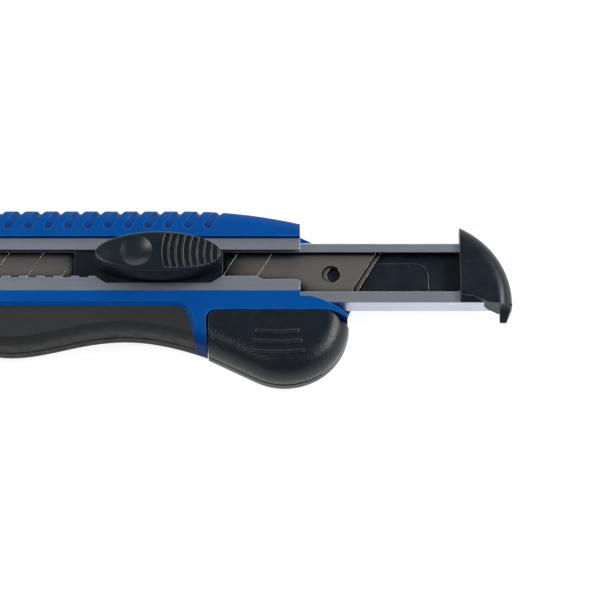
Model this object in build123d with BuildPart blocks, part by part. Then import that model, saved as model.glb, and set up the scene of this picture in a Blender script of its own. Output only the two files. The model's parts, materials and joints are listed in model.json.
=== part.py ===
"""Snap-off utility knife: a steel rail in a two-shell handle, a slider that drives the working blade,
a magazine tray of spare blades drawn out of the rear, and a pull-off bin for snapped-off segments.

X runs to the rear, Y to the spine and Z up through the slider. The origin lies on the flat resting
face, under the rail's centre line, where the near shell ends at the rear. Sizes are in millimetres.
"""

from build123d import *
import os
from math import acos, atan2, cos, degrees, hypot, radians, sin, sqrt, tan

os.makedirs("parts", exist_ok=True)

# Blade
BLADE_WIDTH = 18.0
BLADE_LENGTH = 100.0
BLADE_THICK = 0.5
BLADE_ANGLE = 60.0
BLADE_HOLE = 5.5
HOLE_TO_TAIL = 9.1
TAIL_LENGTH = 30.0
SEGMENT_PITCH = 10.0
BEVEL_WIDTH = 2.2
BEVEL_DEPTH = 0.2
SCORE_WIDTH = 0.2
SCORE_DEPTH = 0.12
SPARE_COUNT = 3
SPARE_SHIFT = 1.6
LAYER_GAP = 0.05

# Magazine tray
TRAY_SHEET = 0.5
TRAY_DEPTH = 6.1
TRAY_BEND = 0.5
TRAY_OUT = 46.4
TRAY_UPPER_LIP = 3.0
TRAY_LOWER_LIP = 3.5
TRAY_TONGUE = 11.0
TRAY_UPPER_TONGUE = 4.0
TRAY_FRONT_MARGIN = 1.3
BLADE_SIDE_GAP = 0.15
FOLLOWER_THICK = 1.2
FOLLOWER_GAP = 0.2
PAD_HEIGHT = 0.4
PAD_LENGTH = 17.2
PAD_MARGIN = 2.6
PAD_CORNER = 4.0
SPRING_LEAF = 0.4
SPRING_WIDTH = 9.0
SPRING_LENGTH = 90.0

# Rail
RAIL_SHEET = 0.7
RAIL_BEND = 0.45
TRAY_SIDE_GAP = 0.3
TRAY_FLOOR_GAP = 0.2
SLOT_WIDTH = 8.55
SLOT_OFFSET = 2.4
SLOT_FRONT_WALL = 18.0
LIP_RELIEF = 1.05
LIP_RELIEF_LENGTH = 11.7
SLIDER_BAY_DEPTH = 2.2
SLIDER_BAY_RAMP = 3.2
NOTCH_DEPTH = 0.55
NOTCH_LENGTH = 2.6
NOTCH_PITCH = 5.0
RAIL_TONGUE = 11.0
RAIL_INSET = 0.8
LIP_ROUND = 0.9
NOSE_SHORT_SIDE = 1.2
NOSE_GUIDE_GAP = 0.4

# Slider
CARRIER_THICK = 0.6
CARRIER_GAP = 0.15
CARRIER_AHEAD = 28.0
CARRIER_BEHIND = 15.0
PIN_FROM_MOUTH = 37.4
PIN_CLEARANCE = 0.1
PIN_SHANK = 3.0
BUTTON_LENGTH = 36.8
BUTTON_WIDTH = 12.9
BUTTON_HEIGHT = 7.0
BUTTON_AHEAD = 3.6
BUTTON_CROWN = 1.6
BUTTON_EDGE = 1.0
NECK_LENGTH = 29.0
NECK_GAP = 0.3
LOCK_SPACE = 1.2
DISH_RADIUS = 5.2
DISH_DEPTH = 1.3
DISH_AHEAD = 6.8
RIB_COUNT = 8
RIB_PITCH = 2.06
RIB_BOW = 16.0
RIB_GROOVE = 1.6
RIB_SHARE = 0.86
RIB_SETBACK = 1.2
RIB_DEPTH = 0.7
RIVET_SIZE = 2.4
RIVET_FIT = 0.03
LOCK_LEAF = 0.35
LOCK_SHARE = 0.84

# Handle
SHELL_LIP = 0.8
SHELL_GAP = 0.1
PARTING_Z = 7.0
SPINE_WALL = 9.75
SPINE_DROP = 4.2
SPINE_DROP_LENGTH = 34.0
SPINE_NOSE_LENGTH = 31.0
SPINE_NOSE_DROP = 6.5
BELLY_WALL = 7.25
# Points on the belly: distance from the shells' front, or from the mouth, and drop
BELLY_FRONT_POINTS = ((1.0, 3.6), (17.0, 2.2), (36.0, 5.0))
BELLY_REAR_POINTS = ((62.0, 1.2), (49.5, 0.0), (38.0, 1.6))
EDGE_ROUND = 4.5
WINDOW_COVER = 3.95
SHELL_FRONT_BACK = 15.0
SHELL_FRONT_SLANT = 7.5
SHELL_WALL = 1.8
GRIP_THICK = 2.6
GRIP_SINK = 0.9
WINDOW_BEVEL = 1.2
GRIP_TOP_WALL = 0.6
GRIP_CORNER = 4.0
GRIP_SEAM = 0.4
GROOVE_PITCH = 5.8
GROOVE_COUNT = 13
GROOVE_RADIUS = 1.35
GROOVE_DEPTH = 1.0
GROOVE_END_DEPTH = 0.8
GROOVE_LEAN = 0.6
GROOVE_FROM_MOUTH = 23.8
GROOVE_TAIL = 7.6
GROOVE_SIDE = 5.6
SCREW_SIZE = 2.2
SCREW_HEAD = 4.6
SCREW_HEAD_DEPTH = 2.0
SCREW_LENGTH = 9.0
SCREW_FIT = 0.05
SCREW_CROSS = 0.6
SCREW_CROSS_ARM = 0.14
CATCH_LEAF = 0.4
CATCH_WIDTH = 5.0
CATCH_LENGTH = 19.0
CATCH_FROM_MOUTH = 14.0
CATCH_GAP = 0.05
CATCH_SEAT_DEPTH = 1.3
CHIN_WALL = 2.0
STEM_DROP = 5.2
WAIST = 0.4
REAR_SLOPE = 2.6
STEM_WIDTH = 2.55
STEM_LEAN = 0.5
RIM_THICK = 1.0
RIM_FROM_MOUTH = 3.0
RIM_RISE = 2.2
RIM_BULGE = 0.9
GRIP_FROM_FRONT = 9.4
GRIP_REAR_LEAN = 3.15
SCREW_ROW = 4.0
SCREW_REAR = 12.0
SCREW_FRONT = 13.0
SCREW_CHIN = 3.4
SCREW_SINK = 1.2
COLLAR_LENGTH = 5.4
COLLAR_RISE = 1.4
COLLAR_TAPER = 30.0
HOLLOW_PITCH = 21.0
HOLLOW_COUNT = 4

# End cap, at home against the far shell's rear end
CAP_LENGTH = 15.0
CAP_TOP_WALL = 4.9
CAP_OVERHANG = 1.3
CAP_BELOW = 8.0
CAP_BULGE = 4.0
CAP_FACE = 1.6
CAP_ROUND = 4.8
WALL_IN = 1.9
WALL_TURN = 3.7
WALL_TURN_IN = 1.5
WALL_OUT = 7.9
WALL_END = 1.4
CAP_SHUT_GAP = 0.2
CAP_FLOOR_GAP = 0.15
HOOK_DROP = 3.9
HOOK_LENGTH = 3.6
HOOK_TIP = 0.8
HOOK_SLOPE = 1.6
SKIRT_THICK = 0.6

# Bin for snapped-off segments
BIN_WEB = 2.15
BIN_GAP = 0.3
BIN_STEM_GAP = 0.9
BIN_FRONT = 26.4
BIN_FRONT_HEIGHT = 11.0
BIN_CORNER_X = 5.0
BIN_CORNER_LENGTH = 8.7
BIN_CORNER_DROP = 2.7
BIN_CORNER_ALONG = 0.6
BIN_CORNER_DOWN = 0.25
BIN_RADIUS = 18.6
BIN_CENTRE_X = -4.4
BIN_CENTRE_DROP = 1.3
BIN_WALL = 1.6
BIN_ROUND = 6.5
BIN_FAR_ROUND = 5.0
BIN_HEEL_OUT = 0.4
BIN_FRONT_ROUND = 2.4
BIN_TOE_SHARE = 0.6
BIN_SINK = 0.3
BIN_SLIT = 0.7
BIN_SLIT_END = 6.2
BIN_TONGUE_LENGTH = 4.0
BIN_TONGUE_HEIGHT = 1.7
BIN_TONGUE_WIDTH = 7.0
BIN_TONGUE_GAP = 0.1
BIN_RIB_COUNT = 3
BIN_RIB_START = 6.0
BIN_RIB_X = -6.5
BIN_RIB_WIDTH = 0.9
BIN_RIB_HEIGHT = 0.5
BIN_RIB_PITCH = 3.2
BIN_RIB_LENGTH = 12.4
BIN_RIB_GROWTH = 1.5
BIN_RIB_SAG = 0.5

# Heights of the stacked pieces, from the tray's floor up
tray_bottom = PARTING_Z - SHELL_GAP
tray_top = tray_bottom + TRAY_DEPTH
rail_floor_top = tray_bottom - TRAY_FLOOR_GAP
rail_bottom = rail_floor_top - RAIL_SHEET
carrier_bottom = tray_top + CARRIER_GAP
carrier_top = carrier_bottom + CARRIER_THICK
lip_bottom = carrier_top + CARRIER_GAP
rail_face = lip_bottom + RAIL_SHEET
near_face = rail_face + SHELL_LIP
button_bottom = rail_face + 2 * CARRIER_GAP
layer = BLADE_THICK + LAYER_GAP
working_top = tray_top - TRAY_SHEET - LAYER_GAP
spare_bottom = working_top - BLADE_THICK - SPARE_COUNT * layer
follower_top = spare_bottom - LAYER_GAP
follower_bottom = follower_top - FOLLOWER_THICK
pocket_floor = rail_bottom - SHELL_GAP
pocket_roof = rail_face + SHELL_GAP

# Half heights across the rail, from the blade out
blade_half = BLADE_WIDTH / 2
tray_inside = blade_half + BLADE_SIDE_GAP
tray_half = tray_inside + TRAY_SHEET
rail_inside = tray_half + TRAY_SIDE_GAP
rail_half = rail_inside + RAIL_SHEET
pocket_half = rail_half + SHELL_GAP
spine_y = pocket_half + SPINE_WALL
spine_rear_y = spine_y - SPINE_DROP
belly_y = -pocket_half - BELLY_WALL
bin_roof_y = -pocket_half - BIN_WEB
bin_top_y = bin_roof_y - BIN_GAP
slot_low = SLOT_OFFSET - SLOT_WIDTH / 2
slot_high = SLOT_OFFSET + SLOT_WIDTH / 2

# Stations along the knife; the tray is drawn out by TRAY_OUT
lean = 1 / tan(radians(BLADE_ANGLE))
pin_x = -PIN_FROM_MOUTH
spare_hole_x = pin_x + TRAY_OUT
blade_tip_x = pin_x + HOLE_TO_TAIL - BLADE_LENGTH - blade_half * lean
tray_front_shut = blade_tip_x - TRAY_FRONT_MARGIN
tray_front = tray_front_shut + TRAY_OUT
tray_rear = TRAY_OUT + TRAY_TONGUE
guide_rear = tray_front_shut - NOSE_GUIDE_GAP
nose_top_x = guide_rear - NOSE_SHORT_SIDE
shell_front_x = nose_top_x + SHELL_FRONT_BACK
slot_front = nose_top_x + SLOT_FRONT_WALL
button_x = pin_x - BUTTON_AHEAD
stem_x = -BIN_FRONT - BIN_STEM_GAP
spine_front_y = spine_y - SPINE_NOSE_DROP
chin_y = -pocket_half - CHIN_WALL


def nose_x(y):
    """The rail's slanted front edge, parallel to the blade's end."""
    return nose_top_x - (rail_half - y) * lean


def front_x(y):
    """The shells' slanted front edge."""
    return shell_front_x - SHELL_FRONT_SLANT * (spine_front_y - y) / (spine_front_y - chin_y)


def save(piece, label):
    """Names a finished piece and writes it out."""
    piece.part.label = label
    export_step(piece.part, f"parts/{label}.step")


def channel_section(half, bottom, top, sheet, bend):
    """Closed box section of folded sheet, centred on the rail's line."""
    with Locations((0, (bottom + top) / 2)):
        outside = Rectangle(2 * half, top - bottom)
    fillet(outside.vertices(), bend)
    with Locations((0, (bottom + top) / 2)):
        Rectangle(2 * (half - sheet), top - bottom - 2 * sheet, mode=Mode.SUBTRACT)


def bowed_leaf(x_start, x_end, z_low, z_high, thick, width):
    """Strip of spring steel bowed upwards, lying along the knife."""
    middle = (x_start + x_end) / 2
    with BuildPart() as leaf:
        with BuildSketch(Plane.XZ):
            with BuildLine():
                ThreePointArc((x_start, z_low), (middle, z_high - thick), (x_end, z_low))
                Line((x_end, z_low), (x_end, z_low + thick))
                ThreePointArc((x_end, z_low + thick), (middle, z_high), (x_start, z_low + thick))
                Line((x_start, z_low + thick), (x_start, z_low))
            make_face()
        extrude(amount=width / 2, both=True)
    return leaf


# Blades: the working blade lies above the spares, under the tray's lips
def make_blade(label, hole_x, top_z):
    """Snap-off blade with its drive hole at hole_x."""
    tail_x = hole_x + HOLE_TO_TAIL
    front_x = tail_x - BLADE_LENGTH
    slant = blade_half * lean
    score_count = round((BLADE_LENGTH - TAIL_LENGTH) / SEGMENT_PITCH)
    score_places = [(tail_x - TAIL_LENGTH - SEGMENT_PITCH * i, 0) for i in range(score_count)]
    with BuildPart() as blade:
        with BuildSketch(Plane.XY.offset(top_z - BLADE_THICK)):
            with BuildLine():
                Polyline(
                    (tail_x + slant, blade_half),
                    (front_x + slant, blade_half),
                    (front_x - slant, -blade_half),
                    (tail_x - slant, -blade_half),
                    close=True,
                )
            make_face()
            with Locations((hole_x, 0)):
                Circle(BLADE_HOLE / 2, mode=Mode.SUBTRACT)
        extrude(amount=BLADE_THICK)
        # Cutting edge, ground from both faces
        with BuildSketch(Plane.YZ.offset(front_x - BLADE_WIDTH)):
            for face_z, depth in ((top_z, -BEVEL_DEPTH), (top_z - BLADE_THICK, BEVEL_DEPTH)):
                with BuildLine():
                    Polyline(
                        (-blade_half, face_z),
                        (-blade_half + BEVEL_WIDTH, face_z),
                        (-blade_half, face_z + depth),
                        close=True,
                    )
                make_face()
        extrude(amount=BLADE_LENGTH + 2 * BLADE_WIDTH, mode=Mode.SUBTRACT)
        # Score lines where the segments snap off
        with BuildSketch(Plane.XY.offset(top_z)):
            with Locations(*score_places):
                Rectangle(SCORE_WIDTH, 2 * BLADE_WIDTH, rotation=BLADE_ANGLE - 90)
        extrude(amount=-SCORE_DEPTH, mode=Mode.SUBTRACT)
    save(blade, label)


make_blade("working_blade", pin_x, working_top)
for number in range(1, SPARE_COUNT + 1):
    # The spares lie loose: every second one has slid back a little
    slid_back = SPARE_SHIFT * ((number + 1) % 2)
    make_blade(f"spare_blade_{number}", spare_hole_x + slid_back, working_top - number * layer)

# Magazine tray: folded channel with two lips, cut back inside the cap
tray_open_low = -tray_half + TRAY_LOWER_LIP
tray_open_high = tray_half - TRAY_UPPER_LIP
cap_rivet_place = (TRAY_OUT + TRAY_TONGUE / 2, -tray_half / 3)
upper_tongue = TRAY_OUT + TRAY_UPPER_TONGUE
with BuildPart() as magazine_tray:
    with BuildSketch(Plane.YZ.offset(tray_front)):
        channel_section(tray_half, tray_bottom, tray_top, TRAY_SHEET, TRAY_BEND)
        with Locations(((tray_open_low + tray_open_high) / 2, tray_top)):
            Rectangle(tray_open_high - tray_open_low, 3 * TRAY_SHEET, mode=Mode.SUBTRACT)
    extrude(amount=tray_rear - tray_front)
    with BuildSketch(Plane.XY.offset(tray_bottom)):
        with Locations(((upper_tongue + tray_rear) / 2, tray_half / 2)):
            Rectangle(tray_rear - upper_tongue, tray_half)
    extrude(amount=TRAY_DEPTH, mode=Mode.SUBTRACT)
    with BuildSketch(Plane.XY.offset(tray_top - TRAY_SHEET)):
        with Locations((TRAY_OUT + TRAY_TONGUE / 2, -tray_inside / 2)):
            Rectangle(TRAY_TONGUE, tray_inside)
    extrude(amount=TRAY_SHEET, mode=Mode.SUBTRACT)
    with BuildSketch(Plane.XY.offset(tray_bottom)):
        with Locations(cap_rivet_place):
            Circle(RIVET_SIZE / 2 + RIVET_FIT)
    extrude(amount=TRAY_SHEET, mode=Mode.SUBTRACT)
save(magazine_tray, "magazine_tray")

# Follower plate with a raised pad behind the blades
follower_half = tray_inside - FOLLOWER_GAP
pad_start = spare_hole_x + HOLE_TO_TAIL + SPARE_SHIFT + 2 * FOLLOWER_GAP
pad_high = tray_open_high - PAD_MARGIN
pad_end = pad_start + PAD_LENGTH
with BuildPart() as follower_plate:
    with BuildSketch(Plane.XY.offset(follower_bottom)):
        with BuildLine():
            Polyline(
                (tray_front, -follower_half),
                (TRAY_OUT - FOLLOWER_GAP, -follower_half),
                (TRAY_OUT - FOLLOWER_GAP, follower_half),
                (tray_front, follower_half),
                close=True,
            )
        make_face()
    extrude(amount=FOLLOWER_THICK)
    with BuildSketch(Plane.XY.offset(follower_top)):
        with BuildLine():
            Polyline(
                (pad_start - follower_half * lean, -follower_half),
                (pad_start + pad_high * lean, pad_high),
                (pad_end, pad_high),
                (pad_end, -follower_half),
                close=True,
            )
        pad = make_face()
        fillet(pad.vertices().group_by(Axis.X)[-1].sort_by(Axis.Y)[-1], PAD_CORNER)
    extrude(amount=PAD_HEIGHT)
save(follower_plate, "follower_plate")

# Bowed leaf under the follower
spring_front = (tray_front + TRAY_OUT - SPRING_LENGTH) / 2
follower_spring = bowed_leaf(
    spring_front,
    spring_front + SPRING_LENGTH,
    tray_bottom + TRAY_SHEET + LAYER_GAP,
    follower_bottom - LAYER_GAP,
    SPRING_LEAF,
    SPRING_WIDTH,
)
save(follower_spring, "follower_spring")


# End cap: a D that follows the far shell's rear outline and stands over it on the spine side
def rear_curve(x_home, top_y):
    """The round rear end of the cap or the far shell, drawn from the spine side down."""
    chord_x, chord_y = CAP_LENGTH, -CAP_BELOW - top_y
    chord = hypot(chord_x, chord_y)
    bulge = (x_home + CAP_LENGTH / 2 - CAP_BULGE * chord_y / chord,
             (top_y - CAP_BELOW) / 2 + CAP_BULGE * chord_x / chord)
    ThreePointArc((x_home, top_y), bulge, (x_home + CAP_LENGTH, -CAP_BELOW))


cap_top_y = pocket_half + CAP_TOP_WALL
shell_rear_y = cap_top_y - CAP_OVERHANG
cap_bottom = PARTING_Z + CAP_FLOOR_GAP
cap_top = tray_top + CAP_FACE
cap_end = TRAY_OUT + CAP_LENGTH
skirt_y = -tray_half - SKIRT_THICK
plug_half = tray_inside - LAYER_GAP
plug_bottom = tray_bottom + TRAY_SHEET + LAYER_GAP
plug_top = tray_top - TRAY_SHEET - LAYER_GAP
plug_roof = tray_top + 2 * LAYER_GAP
# The cap's front wall starts inside the tray and swings out past it
wall_start = (TRAY_OUT, -tray_half + WALL_IN)
wall_turn = (TRAY_OUT + WALL_TURN, -tray_half + WALL_TURN_IN)
wall_out = (TRAY_OUT + WALL_OUT, skirt_y)
wall_end = (cap_end, -tray_half - WALL_END)
with BuildPart() as end_cap:
    with BuildSketch(Plane.XY.offset(cap_bottom)):
        with BuildLine():
            rear_curve(TRAY_OUT, cap_top_y)
            Polyline(
                (cap_end, -CAP_BELOW),
                wall_end,
                wall_out,
                wall_turn,
                wall_start,
                (TRAY_OUT, cap_top_y),
            )
        make_face()
    extrude(amount=cap_top - cap_bottom)
    rim = end_cap.faces().sort_by(Axis.Z)[-1].edges().filter_by(GeomType.CIRCLE)
    fillet(rim, CAP_ROUND)
    # Socket for the tray's stepped end, with a plug that stays inside the channel
    with BuildSketch(Plane.YZ.offset(TRAY_OUT)):
        with Locations((0, (tray_bottom + tray_top) / 2)):
            Rectangle(2 * (tray_half + LAYER_GAP), TRAY_DEPTH + 2 * LAYER_GAP)
    extrude(amount=TRAY_UPPER_TONGUE + LAYER_GAP, mode=Mode.SUBTRACT)
    with BuildSketch(Plane.YZ.offset(TRAY_OUT)):
        with Locations((-tray_half / 2, (tray_bottom + tray_top) / 2)):
            Rectangle(tray_half + 2 * LAYER_GAP, TRAY_DEPTH + 2 * LAYER_GAP)
    extrude(amount=TRAY_TONGUE + LAYER_GAP, mode=Mode.SUBTRACT)
    with BuildSketch(Plane.YZ.offset(TRAY_OUT)):
        with Locations((0, (plug_bottom + plug_top) / 2)):
            Rectangle(2 * plug_half, plug_top - plug_bottom)
    extrude(amount=TRAY_UPPER_TONGUE + 4 * LAYER_GAP)
    with BuildSketch(Plane.YZ.offset(TRAY_OUT)):
        with Locations((-plug_half / 2, (plug_bottom + plug_roof) / 2)):
            Rectangle(plug_half, plug_roof - plug_bottom)
    extrude(amount=TRAY_TONGUE + 4 * LAYER_GAP)
    # Slope from the front wall down to the tray's edge
    with BuildSketch(Plane.YZ.offset(TRAY_OUT)):
        with BuildLine():
            Polyline(
                (wall_start[1], cap_top),
                (-tray_half, tray_top + LAYER_GAP),
                (wall_start[1], tray_top + LAYER_GAP),
                close=True,
            )
        make_face()
    extrude(amount=WALL_OUT)
    # Slanted edge of the skirt outside the tray
    with BuildSketch(Plane.XZ.offset(tray_half)):
        with BuildLine():
            Polyline(
                (wall_turn[0], tray_top),
                (tray_rear, cap_bottom),
                (wall_turn[0], cap_bottom),
                close=True,
            )
        make_face()
    extrude(amount=HOOK_DROP, mode=Mode.SUBTRACT)
    # Nail hook below the tray
    with BuildSketch(Plane.YZ.offset(cap_end - HOOK_LENGTH)):
        with BuildLine():
            Polyline(
                (skirt_y + SKIRT_THICK, cap_bottom),
                (-tray_half - HOOK_DROP, cap_bottom),
                (-tray_half - HOOK_DROP, cap_bottom + HOOK_TIP),
                (skirt_y + SKIRT_THICK, tray_top - SKIRT_THICK),
                close=True,
            )
        make_face()
    extrude(amount=HOOK_LENGTH)
    with BuildSketch(Plane.XY.offset(cap_bottom)):
        with BuildLine():
            Polyline(
                (cap_end, skirt_y + SKIRT_THICK),
                (cap_end, -tray_half - HOOK_DROP),
                (cap_end - HOOK_SLOPE, -tray_half - HOOK_DROP),
                close=True,
            )
        make_face()
    extrude(amount=TRAY_DEPTH + CAP_FACE, mode=Mode.SUBTRACT)
    with BuildSketch(Plane.XY.offset(tray_bottom)):
        with Locations(cap_rivet_place):
            Circle(RIVET_SIZE / 2 + RIVET_FIT)
    extrude(amount=TRAY_DEPTH / 2, mode=Mode.SUBTRACT)
save(end_cap, "end_cap")

# Rivet through the tray's floor into the cap's plug
with BuildPart() as cap_rivet:
    with BuildSketch(Plane.XY.offset(tray_bottom)):
        with Locations(cap_rivet_place):
            Circle(RIVET_SIZE / 2)
    extrude(amount=TRAY_DEPTH / 2)
save(cap_rivet, "cap_rivet")

# Blade rail: folded channel with a slot, lock notches and a slanted nose
bay_half = BUTTON_LENGTH / 2 - SLIDER_BAY_RAMP
slot_middle_x = (slot_front + RAIL_TONGUE) / 2
slot_span = RAIL_TONGUE - slot_front
notch_start = button_x - bay_half - 2 * SLIDER_BAY_RAMP
notch_count = int((notch_start - slot_front) / NOTCH_PITCH)
notch_places = [(notch_start - NOTCH_PITCH * i, slot_low - NOTCH_DEPTH / 2) for i in range(notch_count)]
guide_rivet_place = ((guide_rear + nose_x(-rail_half / 2)) / 2, -rail_half / 2)
catch_x = -CATCH_FROM_MOUTH
with BuildPart() as blade_rail:
    with BuildSketch(Plane.YZ.offset(nose_x(-rail_half))):
        channel_section(rail_half, rail_bottom, rail_face, RAIL_SHEET, RAIL_BEND)
    extrude(amount=RAIL_TONGUE - nose_x(-rail_half))
    # Slanted nose
    with BuildSketch(Plane.XY.offset(rail_bottom)):
        with BuildLine():
            Polyline(
                (nose_x(-rail_half) - RAIL_SHEET, -rail_half),
                (nose_x(-rail_half), -rail_half),
                (nose_top_x, rail_half),
                (nose_x(-rail_half) - RAIL_SHEET, rail_half),
                close=True,
            )
        make_face()
    extrude(amount=rail_face - rail_bottom, mode=Mode.SUBTRACT)
    # Slot, the slider's bay, the rear relief and the lock notches
    with BuildSketch(Plane.XY.offset(lip_bottom)):
        with Locations((slot_middle_x, SLOT_OFFSET)):
            Rectangle(slot_span, SLOT_WIDTH)
        with BuildLine():
            Polyline(
                (button_x - bay_half - SLIDER_BAY_RAMP, slot_low),
                (button_x - bay_half, slot_low - SLIDER_BAY_DEPTH),
                (button_x + bay_half, slot_low - SLIDER_BAY_DEPTH),
                (button_x + bay_half + SLIDER_BAY_RAMP, slot_low),
                close=True,
            )
        make_face()
        with BuildLine():
            Polyline(
                (-LIP_RELIEF_LENGTH - LIP_RELIEF, slot_low),
                (-LIP_RELIEF_LENGTH + LIP_RELIEF, slot_low - LIP_RELIEF),
                (RAIL_TONGUE, slot_low - LIP_RELIEF),
                (RAIL_TONGUE, slot_low),
                close=True,
            )
        make_face()
        with Locations(*notch_places):
            Rectangle(NOTCH_LENGTH, NOTCH_DEPTH)
    extrude(amount=RAIL_SHEET, mode=Mode.SUBTRACT)
    # Only the floor runs on past the near shell
    with BuildSketch(Plane.XY.offset(rail_floor_top)):
        with Locations((RAIL_TONGUE / 2, 0)):
            Rectangle(RAIL_TONGUE, 2 * rail_half)
    extrude(amount=rail_face - rail_floor_top, mode=Mode.SUBTRACT)
    # The floor's rear corner follows the far shell's round end, a little inside it
    with BuildSketch(Plane.XY.offset(rail_bottom)):
        with BuildLine():
            rear_curve(-RAIL_INSET, shell_rear_y)
            Polyline(
                (CAP_LENGTH - RAIL_INSET, -CAP_BELOW),
                (CAP_LENGTH + RAIL_TONGUE, -CAP_BELOW),
                (CAP_LENGTH + RAIL_TONGUE, shell_rear_y),
                (-RAIL_INSET, shell_rear_y),
            )
        make_face()
    extrude(amount=RAIL_SHEET, mode=Mode.SUBTRACT)
    # Window for the tray's catch and the hole for the nose rivet
    with BuildSketch(Plane.XY.offset(rail_bottom)):
        with Locations((catch_x, 0)):
            Rectangle(CATCH_LENGTH, CATCH_WIDTH + 2 * FOLLOWER_GAP)
        with Locations(guide_rivet_place):
            Circle(RIVET_SIZE / 2 + RIVET_FIT)
    extrude(amount=RAIL_SHEET, mode=Mode.SUBTRACT)
    # Rounded ends of the lips at the mouth
    lip_corners = blade_rail.edges().filter_by(Axis.Z).filter_by(
        lambda e: abs(e.center().X) < LAYER_GAP and abs(e.center().Y) < rail_inside - RAIL_SHEET
    )
    fillet(lip_corners, LIP_ROUND)
save(blade_rail, "blade_rail")

# Nose guide: fills the rail's nose and leaves a passage for one blade
guide_half = rail_inside - LAYER_GAP
with BuildPart() as nose_guide:
    with BuildSketch(Plane.XY.offset(rail_floor_top)):
        with BuildLine():
            Polyline(
                (guide_rear, -guide_half),
                (guide_rear, guide_half),
                (nose_x(guide_half) + RAIL_SHEET, guide_half),
                (nose_x(-guide_half) + RAIL_SHEET, -guide_half),
                close=True,
            )
        make_face()
    extrude(amount=lip_bottom - rail_floor_top)
    with BuildSketch(Plane.YZ.offset(nose_x(-rail_half))):
        with Locations((0, working_top - BLADE_THICK / 2)):
            Rectangle(BLADE_WIDTH + 2 * BLADE_SIDE_GAP, BLADE_THICK + 2 * LAYER_GAP)
    extrude(amount=guide_rear - nose_x(-rail_half), mode=Mode.SUBTRACT)
    with BuildSketch(Plane.XY.offset(rail_floor_top)):
        with Locations(guide_rivet_place):
            Circle(RIVET_SIZE / 2 + RIVET_FIT)
    extrude(amount=TRAY_DEPTH / 2, mode=Mode.SUBTRACT)
save(nose_guide, "nose_guide")

# Rivet under the rail's floor that holds the nose guide
with BuildPart() as nose_rivet:
    with BuildSketch(Plane.XY.offset(rail_bottom)):
        with Locations(guide_rivet_place):
            Circle(RIVET_SIZE / 2)
    extrude(amount=RAIL_SHEET + TRAY_DEPTH / 2)
    with BuildSketch(Plane.XY.offset(rail_bottom)):
        with Locations(guide_rivet_place):
            Circle(RIVET_SIZE)
    extrude(amount=-RAIL_SHEET)
    head_rim = nose_rivet.faces().sort_by(Axis.Z)[0].edges()
    fillet(head_rim, RAIL_SHEET / 2)
save(nose_rivet, "nose_rivet")

# Slider: a button on a carrier plate that runs between the rail's lips and the tray
neck_low = slot_low + LOCK_SPACE
neck_high = slot_high - NECK_GAP
neck_y = (neck_low + neck_high) / 2
rivet_places = [(button_x - NECK_LENGTH / 3, neck_y), (button_x + NECK_LENGTH / 3, neck_y)]
rib_start = button_x + RIB_SETBACK
button_top = button_bottom + BUTTON_HEIGHT
pin_hole = PIN_SHANK / 2 + RIVET_FIT
with BuildPart() as slider_carrier:
    with BuildSketch(Plane.XY.offset(carrier_bottom)):
        with Locations((pin_x + (CARRIER_BEHIND - CARRIER_AHEAD) / 2, 0)):
            Rectangle(CARRIER_AHEAD + CARRIER_BEHIND, 2 * (rail_inside - FOLLOWER_GAP))
        with Locations((pin_x, 0)):
            Circle(pin_hole, mode=Mode.SUBTRACT)
        with Locations(*rivet_places):
            Circle(RIVET_SIZE / 2 + RIVET_FIT, mode=Mode.SUBTRACT)
    extrude(amount=CARRIER_THICK)
save(slider_carrier, "slider_carrier")

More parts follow.
